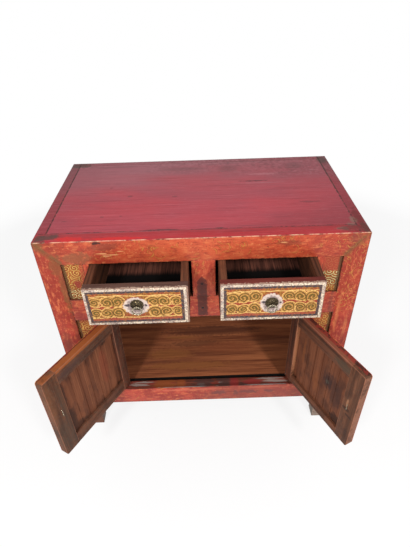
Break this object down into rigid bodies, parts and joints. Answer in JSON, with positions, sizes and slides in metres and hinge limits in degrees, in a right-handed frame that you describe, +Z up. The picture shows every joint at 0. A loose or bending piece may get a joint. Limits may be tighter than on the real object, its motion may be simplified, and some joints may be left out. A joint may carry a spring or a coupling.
{
  "type": "wedding cabinet",
  "caption": "Low red lacquer wedding cabinet: two dovetailed drawers with drop ring pulls over two doors on wooden pivots, on straight legs.",
  "frame": {"origin": "on the floor under the middle of the cabinet's overall length and width, drawers and doors standing as in the picture", "axes": "+X to the right along the front, +Y from the front to the back, +Z up"},
  "size_m": [0.92, 0.789, 0.825],
  "materials": {
    "red_lacquer": "worn lacquer",
    "painted_panel": "painted scrolls, worn",
    "bare_wood": "bare, darkened with age",
    "dark_box_wood": "bare, dusty",
    "brass": "aged"
  },
  "bodies": {
    "carcass": {"front_left_post": "red_lacquer", "front_right_post": "red_lacquer", "back_left_post": "red_lacquer", "back_right_post": "red_lacquer", "front_top_rail": "red_lacquer", "back_top_rail": "red_lacquer", "left_top_rail": "red_lacquer", "right_top_rail": "red_lacquer", "top_panel": "red_lacquer", "top_battens": "bare_wood", "mid_rail": "red_lacquer", "front_bottom_rail": "red_lacquer", "back_bottom_rail": "red_lacquer", "left_bottom_rail": "red_lacquer", "right_bottom_rail": "red_lacquer", "centre_divider": "red_lacquer", "upper_jambs": "red_lacquer", "lower_jambs": "red_lacquer", "left_upper_front_panel": "painted_panel", "right_upper_front_panel": "painted_panel", "left_lower_front_panel": "painted_panel", "right_lower_front_panel": "painted_panel", "left_side_panel": "red_lacquer", "right_side_panel": "red_lacquer", "back_panel": "bare_wood", "back_mid_rail": "bare_wood", "floor_boards": "bare_wood", "floor_battens": "bare_wood", "drawer_runners": "bare_wood", "drawer_guides": "bare_wood"},
    "left_drawer": {"left_drawer_front": "painted_panel", "left_drawer_sides": "dark_box_wood", "left_drawer_back": "dark_box_wood", "left_drawer_bottom": "dark_box_wood", "left_drawer_plate": "brass", "left_drawer_split_pin": "brass"},
    "left_drawer_ring": {"left_drawer_ring": "brass"},
    "left_door": {"left_door_hinge_stile": "red_lacquer", "left_door_free_stile": "red_lacquer", "left_door_rails": "red_lacquer", "left_door_panel": "red_lacquer", "left_door_plate": "brass", "left_door_split_pin": "brass"},
    "left_door_ring": {"left_door_ring": "brass"},
    "right_drawer": {"right_drawer_front": "painted_panel", "right_drawer_sides": "dark_box_wood", "right_drawer_back": "dark_box_wood", "right_drawer_bottom": "dark_box_wood", "right_drawer_plate": "brass", "right_drawer_split_pin": "brass"},
    "right_drawer_ring": {"right_drawer_ring": "brass"},
    "right_door": {"right_door_hinge_stile": "red_lacquer", "right_door_free_stile": "red_lacquer", "right_door_rails": "red_lacquer", "right_door_panel": "red_lacquer", "right_door_plate": "brass", "right_door_split_pin": "brass"},
    "right_door_ring": {"right_door_ring": "brass"}
  },
  "joints": [
    {"name": "left_drawer_slide", "type": "slide", "parent": "carcass", "child": "left_drawer", "axis": [0, -1, 0], "range_m": [-0.11, 0.18]},
    {"name": "left_drawer_ring_swing", "type": "hinge", "parent": "left_drawer", "child": "left_drawer_ring", "pos_m": [-0.178, -0.25652, 0.6904], "axis": [-1, 0, 0], "range_deg": [-15, 95]},
    {"name": "right_drawer_slide", "type": "slide", "parent": "carcass", "child": "right_drawer", "axis": [0, -1, 0], "range_m": [-0.109, 0.18]},
    {"name": "right_drawer_ring_swing", "type": "hinge", "parent": "right_drawer", "child": "right_drawer_ring", "pos_m": [0.184, -0.25552, 0.6814], "axis": [-1, 0, 0], "range_deg": [-15, 95]},
    {"name": "left_door_hinge", "type": "hinge", "parent": "carcass", "child": "left_door", "pos_m": [-0.294, -0.12299, 0.204], "axis": [0, 0, -1], "range_deg": [-121, 3]},
    {"name": "left_door_ring_swing", "type": "hinge", "parent": "left_door", "child": "left_door_ring", "pos_m": [-0.45014, -0.33716, 0.379], "axis": [0.515, 0.8572, 0], "range_deg": [-15, 95]},
    {"name": "right_door_hinge", "type": "hinge", "parent": "carcass", "child": "right_door", "pos_m": [0.3, -0.12299, 0.204], "axis": [0, 0, 1], "range_deg": [-116, 8]},
    {"name": "right_door_ring_swing", "type": "hinge", "parent": "right_door", "child": "right_door_ring", "pos_m": [0.43688, -0.34995, 0.379], "axis": [0.4384, -0.8988, 0], "range_deg": [-15, 95]}
  ]
}
